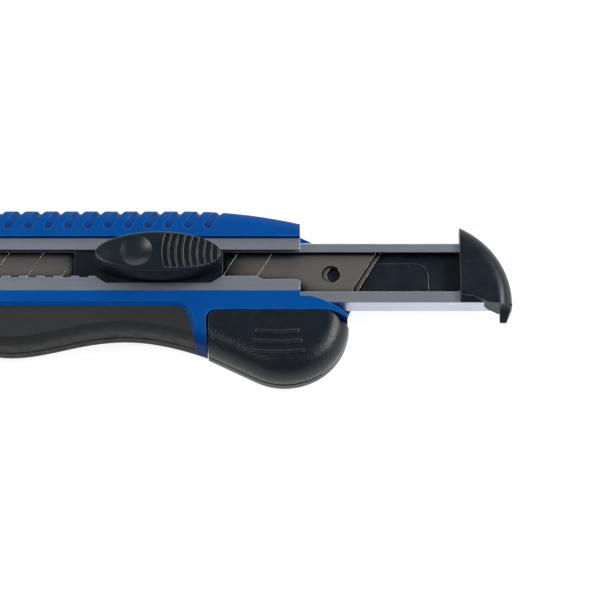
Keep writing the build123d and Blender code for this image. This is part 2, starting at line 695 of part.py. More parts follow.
# Thumb button: a neck in the slot, an oval body, a dish and ribs
with BuildPart() as slider_button:
    # Neck in the slot
    with BuildSketch(Plane.XY.offset(carrier_top)):
        with Locations((button_x, neck_y)):
            SlotOverall(NECK_LENGTH, neck_high - neck_low)
    extrude(amount=button_bottom - carrier_top)
    # Oval body
    with BuildSketch(Plane.XY.offset(button_bottom)):
        with Locations((button_x, neck_y)):
            Ellipse(BUTTON_LENGTH / 2, BUTTON_WIDTH / 2)
    extrude(amount=BUTTON_HEIGHT)
    # Crown along the length
    with BuildSketch(Plane.XZ.offset(-neck_y)):
        with BuildLine():
            crown = ThreePointArc(
                (button_x - BUTTON_LENGTH / 2, button_top - BUTTON_CROWN),
                (button_x, button_top),
                (button_x + BUTTON_LENGTH / 2, button_top - BUTTON_CROWN),
            )
            Polyline(
                crown @ 1,
                (button_x + BUTTON_LENGTH / 2, button_top + BUTTON_CROWN),
                (button_x - BUTTON_LENGTH / 2, button_top + BUTTON_CROWN),
                crown @ 0,
            )
        make_face()
    extrude(amount=BUTTON_WIDTH, both=True, mode=Mode.SUBTRACT)
    crown_face = slider_button.faces().sort_by(Axis.Z)[-1]
    fillet(crown_face.edges(), BUTTON_EDGE)
    # Thumb dish
    dish_ball = (DISH_RADIUS**2 + DISH_DEPTH**2) / (2 * DISH_DEPTH)
    with Locations((button_x - DISH_AHEAD, neck_y, button_top - DISH_DEPTH + dish_ball)):
        Sphere(dish_ball, mode=Mode.SUBTRACT)
    # Grooves between the bowed thumb ribs, which follow the crown
    for index in range(RIB_COUNT):
        rib_x = rib_start + RIB_PITCH * index
        share = (rib_x - button_x) / (BUTTON_LENGTH / 2)
        across = RIB_SHARE * BUTTON_WIDTH / 2 * sqrt(1 - share**2)
        bow = across**2 / (2 * RIB_BOW)
        with BuildSketch(Plane.XY.offset(button_top - BUTTON_CROWN * share**2 - RIB_DEPTH)):
            with BuildLine():
                front = ThreePointArc(
                    (rib_x + bow, neck_y - across), (rib_x, neck_y), (rib_x + bow, neck_y + across)
                )
                back = ThreePointArc(
                    (rib_x + RIB_GROOVE + bow, neck_y - across),
                    (rib_x + RIB_GROOVE, neck_y),
                    (rib_x + RIB_GROOVE + bow, neck_y + across),
                )
                Line(front @ 0, back @ 0)
                Line(front @ 1, back @ 1)
            make_face()
        extrude(amount=BUTTON_CROWN + RIB_DEPTH, mode=Mode.SUBTRACT)
    # Rivet holes
    with BuildSketch(Plane.XY.offset(carrier_top)):
        with Locations(*rivet_places):
            Circle(RIVET_SIZE / 2 + RIVET_FIT)
    extrude(amount=BUTTON_HEIGHT / 2, mode=Mode.SUBTRACT)
save(slider_button, "slider_button")

# Rivets from the carrier up into the button
with BuildPart() as slider_rivets:
    with BuildSketch(Plane.XY.offset(carrier_bottom)):
        with Locations(*rivet_places):
            Circle(RIVET_SIZE / 2)
    extrude(amount=CARRIER_THICK + BUTTON_HEIGHT / 2)
save(slider_rivets, "slider_rivets")

# Pin under the carrier, in the working blade's hole
with BuildPart() as drive_pin:
    with BuildSketch(Plane.XY.offset(working_top - BLADE_THICK + LAYER_GAP / 2)):
        with Locations((pin_x, 0)):
            Circle(BLADE_HOLE / 2 - PIN_CLEARANCE)
    extrude(amount=carrier_bottom - working_top + BLADE_THICK - LAYER_GAP / 2)
    with BuildSketch(Plane.XY.offset(carrier_bottom)):
        with Locations((pin_x, 0)):
            Circle(PIN_SHANK / 2)
    extrude(amount=CARRIER_THICK)
save(drive_pin, "drive_pin")

# Lock leaf beside the neck, with a tooth for the rail's notches
leaf_half = LOCK_SHARE * NECK_LENGTH / 2
leaf_y = neck_low - LAYER_GAP
tooth_y = slot_low - NOTCH_DEPTH + LAYER_GAP
tooth_root = slot_low + 1.5 * LOCK_LEAF
with BuildPart() as lock_spring:
    with BuildSketch(Plane.XY.offset(carrier_top + LAYER_GAP)):
        with BuildLine():
            ThreePointArc(
                (button_x - leaf_half, leaf_y),
                (button_x, slot_low + 2 * LOCK_LEAF),
                (button_x + leaf_half, leaf_y),
            )
            Line((button_x + leaf_half, leaf_y), (button_x + leaf_half, leaf_y - LOCK_LEAF))
            ThreePointArc(
                (button_x + leaf_half, leaf_y - LOCK_LEAF),
                (button_x, slot_low + LOCK_LEAF),
                (button_x - leaf_half, leaf_y - LOCK_LEAF),
            )
            Line((button_x - leaf_half, leaf_y - LOCK_LEAF), (button_x - leaf_half, leaf_y))
        make_face()
        with BuildLine():
            Polyline(
                (button_x - NOTCH_LENGTH / 2, tooth_root),
                (button_x - NOTCH_LENGTH / 4, tooth_y),
                (button_x + NOTCH_LENGTH / 4, tooth_y),
                (button_x + NOTCH_LENGTH / 2, tooth_root),
                close=True,
            )
        make_face()
    extrude(amount=RAIL_SHEET)
save(lock_spring, "lock_spring")


# Handle outline, shared by both shells, both grips and the grip's core
def bin_corner(gap):
    """The bin's upper rear corner, or the shells' edge round it at a gap."""
    ThreePointArc(
        (BIN_CORNER_X, bin_top_y + gap),
        (BIN_CORNER_X + BIN_CORNER_LENGTH * BIN_CORNER_ALONG,
         bin_top_y - BIN_CORNER_DROP * BIN_CORNER_DOWN + gap),
        (BIN_CORNER_X + BIN_CORNER_LENGTH, bin_top_y - BIN_CORNER_DROP + gap),
    )


def handle_outline(near, belly_lift):
    """Side view of the near or the far half, with its belly lifted for the grip's core."""
    spine_front_x = shell_front_x + SPINE_NOSE_LENGTH
    chin = (front_x(chin_y), chin_y)
    # The far half comes closer to the bin, so that the gap isn't open right through
    stem_edge = stem_x if near else -BIN_FRONT - BIN_GAP
    stem_foot = stem_edge + STEM_LEAN if near else stem_edge
    stem = (stem_foot, belly_y - STEM_DROP + belly_lift)
    front_points = [(shell_front_x + x, belly_y - drop + belly_lift) for x, drop in BELLY_FRONT_POINTS]
    rear_points = [(-x, belly_y - drop + belly_lift) for x, drop in BELLY_REAR_POINTS]
    heel = (BIN_CORNER_X + BIN_CORNER_LENGTH, bin_roof_y - BIN_CORNER_DROP)
    with BuildLine() as outline:
        TangentArc((-SPINE_DROP_LENGTH, spine_y), (0, spine_rear_y), tangent=(1, 0))
        Line((-SPINE_DROP_LENGTH, spine_y), (spine_front_x, spine_y))
        TangentArc((spine_front_x, spine_y), (shell_front_x, spine_front_y), tangent=(-1, 0))
        Line((shell_front_x, spine_front_y), chin)
        Spline(chin, *front_points, *rear_points, stem)
        FilletPolyline(
            stem, (stem_edge, bin_roof_y), (BIN_CORNER_X, bin_roof_y), radius=BIN_FRONT_ROUND + BIN_GAP
        )
        bin_corner(BIN_GAP)
        if near:
            rim_top = (heel[0], heel[1] + RIM_THICK)
            rim_start = (RIM_FROM_MOUTH, -pocket_half + RIM_RISE)
            rim_middle = ((heel[0] + RIM_FROM_MOUTH) / 2, (rim_top[1] + rim_start[1]) / 2 + RIM_BULGE)
            Line(heel, rim_top)
            ThreePointArc(rim_top, rim_middle, rim_start)
            Polyline(rim_start, (0, rim_start[1]), (0, spine_rear_y))
        else:
            Polyline(heel, (heel[0] - WAIST, -pocket_half), (CAP_LENGTH, -CAP_BELOW))
            rear_curve(0, shell_rear_y)
            Line((0, shell_rear_y), (0, spine_rear_y))
    return outline.edges()


def half_body(near, belly_lift, bottom, top):
    """One half of the handle as a plain plate."""
    with BuildPart() as body:
        with BuildSketch(Plane.XY.offset(bottom)):
            make_face(handle_outline(near, belly_lift))
        extrude(amount=top - bottom)
    return body


def outer_edges(face):
    """Spine and belly edges of a half's outer face."""
    margin = EDGE_ROUND / 2
    spine = face.edges().filter_by(lambda e: e.center().Y > pocket_half + margin and e.center().X < -margin)
    belly = face.edges().filter_by(lambda e: e.center().Y < belly_y and e.center().X < stem_x)
    return spine + belly


def spine_groove(number, face_z, inward):
    """One groove over the rounded edge, as a round cutter with a ball end leaves it."""
    reach = (EDGE_ROUND + GROOVE_RADIUS - GROOVE_DEPTH) * sin(radians(45))
    edge_x = -GROOVE_FROM_MOUTH - GROOVE_PITCH * number
    edge_y = spine_y - EDGE_ROUND + reach
    end_lift = GROOVE_RADIUS - GROOVE_END_DEPTH

    def on_groove(y, depth):
        return (edge_x + GROOVE_LEAN * (y - edge_y), y, face_z + inward * depth)

    with BuildLine() as path:
        ThreePointArc(
            on_groove(spine_y - GROOVE_TAIL + GROOVE_RADIUS, -end_lift),
            on_groove(edge_y, EDGE_ROUND - reach),
            on_groove(spine_y + end_lift, GROOVE_SIDE - GROOVE_RADIUS),
        )
    with BuildPart() as groove:
        with BuildSketch(path.line ^ 0):
            Circle(GROOVE_RADIUS)
        sweep(path=path.line)
        with Locations(path.line @ 0, path.line @ 1):
            Sphere(GROOVE_RADIUS)
    return groove.part


# Soft-grip windows: the grip lies in the shells, around a core
grip_top_y = -pocket_half - GRIP_TOP_WALL
grip_front_x = shell_front_x + GRIP_FROM_FRONT
grip_rear_x = stem_x - STEM_WIDTH


def grip_window():
    """Outline of the grip on the handle's face; it runs out past the belly."""
    with BuildSketch() as window:
        with BuildLine():
            Polyline(
                (grip_front_x, grip_top_y),
                (grip_rear_x - GRIP_REAR_LEAN, grip_top_y),
                (grip_rear_x, belly_y - STEM_DROP),
                (grip_rear_x, belly_y - 3 * STEM_DROP),
                (grip_front_x - GRIP_REAR_LEAN, belly_y - 3 * STEM_DROP),
                close=True,
            )
        make_face()
        fillet(window.vertices().group_by(Axis.Y)[-1], GRIP_CORNER)
    return window.sketch


def grip_space(bottom, top, core_bottom, core_top, near):
    """Room of one grip: its window, less the core that it lies around."""
    core = half_body(near, GRIP_THICK, core_bottom, core_top)
    with BuildPart() as space:
        with BuildSketch(Plane.XY.offset(bottom)):
            add(grip_window())
        extrude(amount=top - bottom)
        add(core.part, mode=Mode.SUBTRACT)
    return space


def window_bevel(face_z, depth):
    """Sloped edge from the shell's face down to the grip."""
    with BuildPart() as bevel:
        with BuildSketch(Plane.XY.offset(face_z)):
            add(grip_window())
            offset(amount=WINDOW_BEVEL)
        extrude(amount=depth, taper=degrees(atan2(WINDOW_BEVEL, GRIP_SINK)))
    return bevel


def seam_edge(grip):
    """A grip's belly edge on the parting plane."""
    on_parting = grip.edges().filter_by_position(Axis.Z, PARTING_Z - LAYER_GAP, PARTING_Z + LAYER_GAP)
    return on_parting.sort_by(Axis.Y)[0]


# Both halves with their rounded edges, and the room of each grip
near_half = half_body(True, 0, PARTING_Z, near_face)
with BuildPart() as near_rounded:
    add(near_half.part)
    fillet(outer_edges(near_rounded.faces().sort_by(Axis.Z)[-1]), EDGE_ROUND)
near_grip_space = grip_space(PARTING_Z, near_face, PARTING_Z, near_face - GRIP_THICK, True)

far_half = half_body(False, 0, 0, PARTING_Z)
with BuildPart() as far_rounded:
    add(far_half.part)
    fillet(outer_edges(far_rounded.faces().sort_by(Axis.Z)[0]), EDGE_ROUND)
far_grip_space = grip_space(0, PARTING_Z, GRIP_THICK, PARTING_Z, False)

# Soft grips: what the rounded halves and the grips' room have in common, sunk below the face
with BuildPart() as near_grip:
    add(near_rounded.part)
    add(near_grip_space.part, mode=Mode.INTERSECT)
    with BuildSketch(Plane.XY.offset(near_face - GRIP_SINK)):
        with Locations((shell_front_x / 2, belly_y)):
            Rectangle(BLADE_LENGTH * 2, 4 * BELLY_WALL)
    extrude(amount=GRIP_SINK, mode=Mode.SUBTRACT)
    chamfer(seam_edge(near_grip), GRIP_SEAM)
save(near_grip, "near_grip")

with BuildPart() as far_grip:
    add(far_rounded.part)
    add(far_grip_space.part, mode=Mode.INTERSECT)
    with BuildSketch(Plane.XY):
        with Locations((shell_front_x / 2, belly_y)):
            Rectangle(BLADE_LENGTH * 2, 4 * BELLY_WALL)
    extrude(amount=GRIP_SINK, mode=Mode.SUBTRACT)
    chamfer(seam_edge(far_grip), GRIP_SEAM)
save(far_grip, "far_grip")

# Screws from the far side: three along the spine, one under the nose
screw_y = pocket_half + SCREW_ROW
screw_places = [
    (-SCREW_REAR, screw_y),
    ((shell_front_x + SCREW_FRONT - SCREW_REAR) / 2, screw_y),
    (shell_front_x + SCREW_FRONT, screw_y),
    (shell_front_x + SCREW_CHIN, -screw_y - SCREW_FIT),
]
seat_z = SCREW_SINK + SCREW_HEAD_DEPTH
screw_end = seat_z + SCREW_LENGTH
with BuildPart() as shell_screws:
    with BuildSketch(Plane.XY.offset(seat_z)):
        with Locations(*screw_places):
            Circle(SCREW_SIZE / 2)
    extrude(amount=SCREW_LENGTH)
    with BuildSketch(Plane.XY.offset(SCREW_SINK)):
        with Locations(*screw_places):
            Circle(SCREW_HEAD / 2)
    extrude(amount=SCREW_HEAD_DEPTH)
    with BuildSketch(Plane.XY.offset(SCREW_SINK)):
        with Locations(*screw_places):
            Rectangle(SCREW_HEAD * SCREW_CROSS, SCREW_HEAD * SCREW_CROSS_ARM)
            Rectangle(SCREW_HEAD * SCREW_CROSS_ARM, SCREW_HEAD * SCREW_CROSS)
    extrude(amount=SCREW_HEAD_DEPTH / 2, mode=Mode.SUBTRACT)
save(shell_screws, "shell_screws")

# Hollows inside the shells, between the screws
screw_xs = [place[0] for place in screw_places[:3]]
spine_hollows = [
    ((screw_xs[i] + screw_xs[i + 1]) / 2, screw_xs[i] - screw_xs[i + 1] - 4 * SHELL_WALL) for i in range(2)
]
hollow_low = pocket_half + SHELL_WALL
hollow_high = spine_y - EDGE_ROUND + SHELL_WALL / 3
core_high = -pocket_half - SHELL_WALL
core_low = belly_y + GRIP_THICK + SHELL_WALL / 2
core_front = grip_front_x + 2 * GRIP_CORNER
core_rear = grip_rear_x - GRIP_REAR_LEAN - GRIP_CORNER
tongue_xs = (-BIN_FRONT + BIN_TONGUE_LENGTH + BIN_WALL, BIN_CORNER_X + BIN_TONGUE_LENGTH / 2)
tongue_bottom = PARTING_Z - BIN_TONGUE_WIDTH / 2
rail_span = CAP_LENGTH - nose_x(-rail_half)


def shell_hollows():
    """Draws the hollows along the spine and in the grip's core."""
    for middle, length in spine_hollows:
        with Locations((middle, (hollow_low + hollow_high) / 2)):
            Rectangle(length, hollow_high - hollow_low)
    with Locations(((core_front + core_rear) / 2, (core_low + core_high) / 2)):
        Rectangle(core_rear - core_front, core_high - core_low)


def tongue_slots():
    """Draws the slots for the bin's tongues."""
    depth = BIN_TONGUE_HEIGHT + BIN_TONGUE_GAP - BIN_GAP
    with Locations(*[(x, bin_roof_y) for x in tongue_xs]):
        Rectangle(BIN_TONGUE_LENGTH + 2 * BIN_TONGUE_GAP, 2 * depth)


# Near shell: window for the rail, soft-grip recess, spine grooves and a collar over the nose
window_low = -pocket_half + WINDOW_COVER
window_front = shell_front_x + COLLAR_LENGTH
with BuildPart() as near_shell:
    add(near_rounded.part)
    add(near_grip_space.part, mode=Mode.SUBTRACT)
    add(window_bevel(near_face, -GRIP_SINK).part, mode=Mode.SUBTRACT)
    # Collar that joins the two sides over the rail
    with BuildSketch(Plane.XY.offset(near_face)):
        with BuildLine():
            Polyline(
                (front_x(-pocket_half), -pocket_half),
                (window_front, -pocket_half),
                (window_front, pocket_half),
                (front_x(pocket_half), pocket_half),
                close=True,
            )
        make_face()
    extrude(amount=COLLAR_RISE, taper=COLLAR_TAPER)
    with BuildSketch(Plane.YZ.offset(nose_x(-rail_half))):
        with Locations((0, (PARTING_Z + pocket_roof) / 2)):
            Rectangle(2 * pocket_half, pocket_roof - PARTING_Z)
    extrude(amount=rail_span, mode=Mode.SUBTRACT)
    with BuildSketch(Plane.YZ.offset(window_front)):
        with Locations(((window_low + pocket_half) / 2, near_face)):
            Rectangle(pocket_half - window_low, 4 * SHELL_LIP)
    extrude(amount=CAP_LENGTH - window_front, mode=Mode.SUBTRACT)
    # Room for the cap's hook
    with BuildSketch(Plane.XY.offset(PARTING_Z)):
        with Locations((CAP_LENGTH - HOOK_LENGTH / 2, -tray_half - HOOK_DROP / 2)):
            Rectangle(HOOK_LENGTH + 4 * CAP_SHUT_GAP, HOOK_DROP + 4 * CAP_SHUT_GAP)
    extrude(amount=tray_top - PARTING_Z, mode=Mode.SUBTRACT)
    with BuildSketch(Plane.XY.offset(PARTING_Z)):
        shell_hollows()
    extrude(amount=near_face - PARTING_Z - GRIP_THICK - SHELL_WALL, mode=Mode.SUBTRACT)
    with BuildSketch(Plane.XY.offset(PARTING_Z)):
        tongue_slots()
    extrude(amount=BIN_TONGUE_WIDTH / 2 + BIN_TONGUE_GAP, mode=Mode.SUBTRACT)
    with BuildSketch(Plane.XY.offset(PARTING_Z)):
        with Locations(*screw_places):
            Circle(SCREW_SIZE / 2 + SCREW_FIT)
    extrude(amount=screw_end - PARTING_Z + SCREW_FIT, mode=Mode.SUBTRACT)
    for number in range(GROOVE_COUNT):
        add(spine_groove(number, near_face, -1), mode=Mode.SUBTRACT)
save(near_shell, "near_shell")

# Far shell: flat resting face, screw seats, hollows and the tray catch's seat
catch_seat = pocket_floor - CATCH_SEAT_DEPTH
hollow_places = [(grip_front_x + HOLLOW_PITCH * i, 0) for i in range(HOLLOW_COUNT)]
with BuildPart() as far_shell:
    add(far_rounded.part)
    add(far_grip_space.part, mode=Mode.SUBTRACT)
    add(window_bevel(0, GRIP_SINK).part, mode=Mode.SUBTRACT)
    with BuildSketch(Plane.YZ.offset(nose_x(-rail_half))):
        with Locations((0, (pocket_floor + PARTING_Z) / 2)):
            Rectangle(2 * pocket_half, PARTING_Z - pocket_floor)
    extrude(amount=rail_span, mode=Mode.SUBTRACT)
    # Slope under the rear end
    with BuildSketch(Plane.XZ):
        with BuildLine():
            Polyline(
                (CAP_LENGTH - REAR_SLOPE, 0), (CAP_LENGTH, 0), (CAP_LENGTH, 2 * REAR_SLOPE), close=True
            )
        make_face()
    extrude(amount=spine_y, both=True, mode=Mode.SUBTRACT)
    with BuildSketch(Plane.XY.offset(SHELL_WALL)):
        with Locations(*hollow_places):
            Rectangle(HOLLOW_PITCH - 2 * SHELL_WALL, 2 * (blade_half - SHELL_WALL))
    extrude(amount=pocket_floor - SHELL_WALL, mode=Mode.SUBTRACT)
    with BuildSketch(Plane.XY.offset(catch_seat)):
        with Locations((catch_x, 0)):
            Rectangle(CATCH_LENGTH + 2 * FOLLOWER_GAP, CATCH_WIDTH + 2 * FOLLOWER_GAP)
    extrude(amount=pocket_floor - catch_seat, mode=Mode.SUBTRACT)
    with BuildSketch(Plane.XY.offset(PARTING_Z)):
        shell_hollows()
    extrude(amount=GRIP_THICK + SHELL_WALL - PARTING_Z, mode=Mode.SUBTRACT)
    with BuildSketch(Plane.XY.offset(PARTING_Z)):
        tongue_slots()
    extrude(amount=-BIN_TONGUE_WIDTH / 2 - BIN_TONGUE_GAP, mode=Mode.SUBTRACT)
    with BuildSketch(Plane.XY):
        with Locations(*screw_places):
            Circle(SCREW_SIZE / 2 + SCREW_FIT)
    extrude(amount=PARTING_Z, mode=Mode.SUBTRACT)
    with BuildSketch(Plane.XY):
        with Locations(*screw_places):
            Circle(SCREW_HEAD / 2 + SCREW_FIT)
    extrude(amount=seat_z, mode=Mode.SUBTRACT)
    for number in range(GROOVE_COUNT):
        add(spine_groove(number, 0, 1), mode=Mode.SUBTRACT)
save(far_shell, "far_shell")

# Leaf that bears on the tray's floor through the rail
tray_catch = bowed_leaf(
    catch_x - CATCH_LENGTH / 2,
    catch_x + CATCH_LENGTH / 2,
    catch_seat + LAYER_GAP,
    tray_bottom - CATCH_GAP,
    CATCH_LEAF,
    CATCH_WIDTH,
)
save(tray_catch, "tray_catch")

# Bin for snapped-off segments, with a slit to snap them in
bin_centre = (BIN_CENTRE_X, bin_top_y - BIN_CENTRE_DROP)
bin_bottom_z = BIN_SINK
bin_face_z = near_face - BIN_SINK
toe_y = bin_top_y - BIN_FRONT_HEIGHT


def bin_outline(inset):
    """Straight front, round heel and the corner under the rim, drawn inwards by an inset."""
    toe_x = -BIN_FRONT + inset
    toe = (toe_x, toe_y + inset * BIN_TOE_SHARE)
    top_y = bin_top_y - inset
    radius = BIN_RADIUS - inset
    dx, dy = toe[0] - bin_centre[0], toe[1] - bin_centre[1]
    toe_angle = degrees(atan2(dy, dx)) % 360
    touch_angle = toe_angle + degrees(acos(radius / hypot(dx, dy)))
    heel_x = BIN_CORNER_X + BIN_CORNER_LENGTH + BIN_HEEL_OUT - inset
    heel_angle = -degrees(acos(min(1, (heel_x - bin_centre[0]) / radius)))
    middle_angle = (touch_angle - 360 + heel_angle) / 2

    def on_heel(angle):
        return (
            bin_centre[0] + radius * cos(radians(angle)),
            bin_centre[1] + radius * sin(radians(angle)),
        )

    with BuildLine() as outline:
        heel = on_heel(heel_angle)
        ThreePointArc(heel, on_heel(middle_angle), on_heel(touch_angle))
        Line(on_heel(touch_angle), toe)
        FilletPolyline(toe, (toe_x, top_y), (BIN_CORNER_X, top_y), radius=BIN_FRONT_ROUND - inset)
        ThreePointArc(
            (BIN_CORNER_X, top_y),
            (BIN_CORNER_X + (heel[0] - BIN_CORNER_X) * BIN_CORNER_ALONG,
             top_y + (heel[1] - top_y) * BIN_CORNER_DOWN),
            heel,
        )
    return outline.edges()


def bin_block(inset):
    """The bin's outside, or its hollow at an inset: a plate with its heel rounded on both faces."""
    with BuildPart() as block:
        with BuildSketch(Plane.XY.offset(bin_bottom_z + inset)):
            make_face(bin_outline(inset))
        extrude(amount=bin_face_z - bin_bottom_z - 2 * inset)
        for place, radius in ((-1, BIN_ROUND), (0, BIN_FAR_ROUND)):
            face = block.faces().sort_by(Axis.Z)[place]
            heel_edges = face.edges().filter_by(lambda e: e.center().Y < toe_y)
            fillet(heel_edges, radius - inset)
    return block.part


with BuildPart() as waste_bin:
    add(bin_block(0))
    add(bin_block(BIN_WALL), mode=Mode.SUBTRACT)
    # Mouth, through which the segments are tipped out
    with BuildSketch(Plane.XZ.offset(-bin_top_y)):
        with Locations(((tongue_xs[0] + tongue_xs[1]) / 2, PARTING_Z)):
            Rectangle(tongue_xs[1] - tongue_xs[0] - 1.5 * BIN_TONGUE_LENGTH, PARTING_Z + BIN_WALL)
    extrude(amount=2 * BIN_WALL, mode=Mode.SUBTRACT)
    # Slit in the heel, to hold a segment while it is snapped off
    slit_top = toe_y + 2 * BIN_WALL
    with BuildSketch(Plane.XY.offset(PARTING_Z - BIN_SLIT / 2)):
        with Locations((BIN_SLIT_END - BIN_RADIUS, slit_top - BIN_RADIUS / 2)):
            Rectangle(2 * BIN_RADIUS, BIN_RADIUS)
    extrude(amount=BIN_SLIT, mode=Mode.SUBTRACT)
    # Tongues that go up into the shells
    with BuildSketch(Plane.XY.offset(tongue_bottom)):
        with Locations(*[(x, bin_top_y) for x in tongue_xs]):
            Rectangle(BIN_TONGUE_LENGTH, 2 * BIN_TONGUE_HEIGHT)
    extrude(amount=BIN_TONGUE_WIDTH)
    # Pull ribs, each a little longer than the one above it
    for index in range(BIN_RIB_COUNT):
        rib_half = (BIN_RIB_LENGTH + BIN_RIB_GROWTH * index) / 2
        rib_y = bin_top_y - BIN_RIB_START - BIN_RIB_PITCH * index
        rib_low = rib_y - BIN_RIB_WIDTH
        with BuildSketch(Plane.XY.offset(bin_face_z)):
            with BuildLine():
                left, right = BIN_RIB_X - rib_half, BIN_RIB_X + rib_half
                ThreePointArc((left, rib_y), (BIN_RIB_X, rib_y - BIN_RIB_SAG), (right, rib_y))
                Line((right, rib_y), (right, rib_low))
                ThreePointArc((right, rib_low), (BIN_RIB_X, rib_low - BIN_RIB_SAG), (left, rib_low))
                Line((left, rib_low), (left, rib_y))
            make_face()
        extrude(amount=BIN_RIB_HEIGHT)
save(waste_bin, "waste_bin")
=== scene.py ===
"""Looks for the utility knife: procedural materials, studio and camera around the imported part."""

import json
import math

import bpy
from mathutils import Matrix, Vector


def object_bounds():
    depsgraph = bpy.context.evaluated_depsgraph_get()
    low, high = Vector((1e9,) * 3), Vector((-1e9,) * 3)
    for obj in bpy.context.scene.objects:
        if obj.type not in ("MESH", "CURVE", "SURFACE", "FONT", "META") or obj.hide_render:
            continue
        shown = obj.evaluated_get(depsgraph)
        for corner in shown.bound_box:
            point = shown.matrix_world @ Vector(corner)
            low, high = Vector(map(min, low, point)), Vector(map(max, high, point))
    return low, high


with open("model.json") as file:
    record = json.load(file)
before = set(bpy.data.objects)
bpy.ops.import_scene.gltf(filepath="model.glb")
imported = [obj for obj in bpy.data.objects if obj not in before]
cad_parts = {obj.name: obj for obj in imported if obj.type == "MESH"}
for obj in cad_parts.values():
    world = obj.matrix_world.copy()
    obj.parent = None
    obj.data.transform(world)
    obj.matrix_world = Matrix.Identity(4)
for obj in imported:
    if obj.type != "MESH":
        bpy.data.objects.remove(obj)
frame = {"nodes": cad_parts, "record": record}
nodes = frame["nodes"]
cad_low, cad_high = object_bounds()

MM = 0.001

# Camera: the photograph looks down at the slider's side, square to the blade
PHOTO_SIDE = 600
FOCAL_PIXELS = 3795
SENSOR_MM = 36.0
CAMERA_DISTANCE = 1.1
CAMERA_ELEVATION = math.radians(64)
CAMERA_AIM = Vector((0, -7.15, 9.5)) * MM
CLIP_NEAR = 0.01
CLIP_FAR = 50

# Edges and hollows: rays spent on them, and where they start and are full
EDGE_SAMPLES = 8
EDGE_STARTS = 0.995
EDGE_FULL = 0.88
SKY_SAMPLES = 12
SKY_CLEAR = 0.92
SPECK_CORE = 0.6

# Places of the colour sockets on a Mix node, which share their names with the number sockets
MIX_FIRST = 6
MIX_SECOND = 7
MIX_RESULT = 2


class Graph:
    """A node tree under construction, with short ways to add nodes to it."""

    def __init__(self, tree):
        self.tree = tree

    def add(self, kind, values=None, **settings):
        """A new node, with its settings and the values or links of its inputs."""
        node = self.tree.nodes.new(kind)
        for name, value in settings.items():
            setattr(node, name, value)
        for name, value in (values or {}).items():
            self.put(node.inputs[name], value)
        return node

    def put(self, socket, value):
        """Links an output to a socket, or sets the socket to a plain value."""
        if isinstance(value, bpy.types.NodeSocket):
            self.tree.links.new(value, socket)
        else:
            socket.default_value = value

    def pair(self, kind, operation, first, second):
        """Output of a node that works on two outputs or plain values."""
        node = self.add(kind, operation=operation)
        self.put(node.inputs[0], first)
        self.put(node.inputs[1], second)
        return node.outputs["Value"]

    def math(self, operation, first, second):
        return self.pair("ShaderNodeMath", operation, first, second)

    def dot(self, first, second):
        """How far two directions agree."""
        return self.pair("ShaderNodeVectorMath", "DOT_PRODUCT", first, second)

    def remap(self, value, low, high, new_low, new_high):
        """The span from low to high spread over new_low to new_high, and held within it."""
        values = {
            "Value": value, "From Min": low, "From Max": high, "To Min": new_low, "To Max": new_high,
        }
        return self.add("ShaderNodeMapRange", values).outputs["Result"]

    def rays(self):
        """Two outputs: 1 for rays from mirrors and glass, and 1 for rays from the camera."""
        path = self.add("ShaderNodeLightPath").outputs
        mirrored = self.math("MAXIMUM", path["Is Glossy Ray"], path["Is Transmission Ray"])
        return mirrored, path["Is Camera Ray"]


